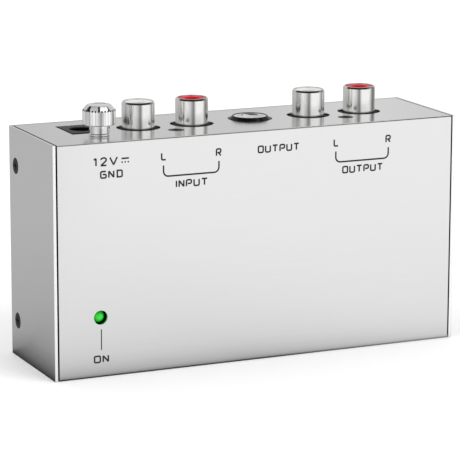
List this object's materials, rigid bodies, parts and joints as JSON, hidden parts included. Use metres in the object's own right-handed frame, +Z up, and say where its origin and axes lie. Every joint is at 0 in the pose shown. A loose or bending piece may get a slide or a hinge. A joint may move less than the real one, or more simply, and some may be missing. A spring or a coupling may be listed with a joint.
{
  "type": "phono preamp",
  "caption": "Small phono preamp in a folded brushed aluminium case, with phono sockets, a 6.35 mm output jack, a DC socket and a ground terminal along one narrow face.",
  "frame": {"origin": "centre of the foot panel's outer face, the narrow face it stands on", "axes": "+Z up towards the connector panel, -Y out of the label face, +X to the label's right"},
  "size_m": [0.1106, 0.034, 0.0667],
  "materials": {
    "case_aluminium": "fine brushed, clear anodised",
    "black_screw": "black oxide",
    "bright_nickel": "bright nickel plate",
    "bright_chrome": "bright chrome plate",
    "contact_metal": "tin-plated spring brass",
    "plain_steel": "zinc plated",
    "tinned_lead": "tinned copper",
    "white_insulator": "moulded, satin",
    "red_insulator": "moulded, satin",
    "black_moulding": "moulded, fine texture",
    "jack_moulding": "moulded, glossy",
    "dc_moulding": "moulded, fine texture",
    "led_green": "clear tinted epoxy",
    "white_nylon": "moulded",
    "foot_rubber": "matt black",
    "board_green": "glass epoxy with green solder mask",
    "chip_epoxy": "moulded epoxy",
    "capacitor_sleeve": "shrunk sleeve",
    "film_dip": "dipped epoxy",
    "disc_ceramic": "dipped ceramic",
    "resistor_lacquer": "lacquered, colour bands",
    "wire_insulation": "PVC"
  },
  "bodies": {
    "root": {"board_screws": "plain_steel", "board_standoffs": "plain_steel", "case_screws": "black_screw", "ceramic_capacitors": "disc_ceramic", "circuit_board": "board_green", "component_leads": "tinned_lead", "dc_socket_body": "dc_moulding", "dc_socket_pin": "bright_nickel", "film_capacitors": "film_dip", "ground_hex_nut": "plain_steel", "ground_lock_washer": "plain_steel", "ground_solder_tag": "tinned_lead", "ground_stud": "bright_chrome", "ground_wire": "wire_insulation", "input_block_screw": "black_screw", "input_left_barrel": "bright_nickel", "input_left_contact": "contact_metal", "input_left_insulator": "white_insulator", "input_right_barrel": "bright_nickel", "input_right_contact": "contact_metal", "input_right_insulator": "red_insulator", "input_socket_block": "black_moulding", "label_shell": "case_aluminium", "led_leads": "tinned_lead", "led_lens": "led_green", "led_spacer": "white_nylon", "op_amp": "chip_epoxy", "op_amp_pins": "tinned_lead", "output_block_screw": "black_screw", "output_jack_body": "jack_moulding", "output_jack_sleeve": "bright_chrome", "output_jack_terminals": "tinned_lead", "output_left_barrel": "bright_nickel", "output_left_contact": "contact_metal", "output_left_insulator": "white_insulator", "output_right_barrel": "bright_nickel", "output_right_contact": "contact_metal", "output_right_insulator": "red_insulator", "output_socket_block": "black_moulding", "protection_diode": "chip_epoxy", "rear_screws": "black_screw", "rear_shell": "case_aluminium", "resistors": "resistor_lacquer", "rubber_feet": "foot_rubber", "signal_capacitors": "capacitor_sleeve", "supply_capacitors": "capacitor_sleeve", "voltage_regulator": "chip_epoxy"},
    "ground_clamp": {"ground_captive_washer": "bright_chrome"},
    "ground_nut": {"ground_thumb_nut": "bright_chrome"},
    "jack_tip_spring": {"output_jack_tip_spring": "contact_metal"},
    "jack_ring_spring": {"output_jack_ring_spring": "contact_metal"},
    "dc_spring": {"dc_socket_spring": "contact_metal"}
  },
  "joints": [
    {"name": "ground_washer_lift", "type": "slide", "parent": "root", "child": "ground_clamp", "axis": [0, 0, 1], "range_m": [0, 0.0025]},
    {"name": "ground_nut_turn", "type": "hinge", "parent": "ground_clamp", "child": "ground_nut", "pos_m": [-0.03945, -0.0065, 0.059], "axis": [0, 0, 1], "range_deg": [0, 1800]},
    {"name": "jack_tip_spring_flex", "type": "hinge", "parent": "root", "child": "jack_tip_spring", "pos_m": [0.00985, 0.0011, 0.0451], "axis": [0, -1, 0], "range_deg": [0, 5], "stiffness_Nm_per_rad": 0.25},
    {"name": "jack_ring_spring_flex", "type": "hinge", "parent": "root", "child": "jack_ring_spring", "pos_m": [-0.00015, 0.0011, 0.0451], "axis": [0, 1, 0], "range_deg": [0, 6], "stiffness_Nm_per_rad": 0.25},
    {"name": "dc_spring_flex", "type": "hinge", "parent": "root", "child": "dc_spring", "pos_m": [-0.0402, 0.0079, 0.0474], "axis": [-1, 0, 0], "range_deg": [0, 4], "stiffness_Nm_per_rad": 0.25}
  ],
  "couplings": [
    {"joint": "ground_nut_turn", "follows": "ground_washer_lift", "rad_per_m": 12566}
  ]
}
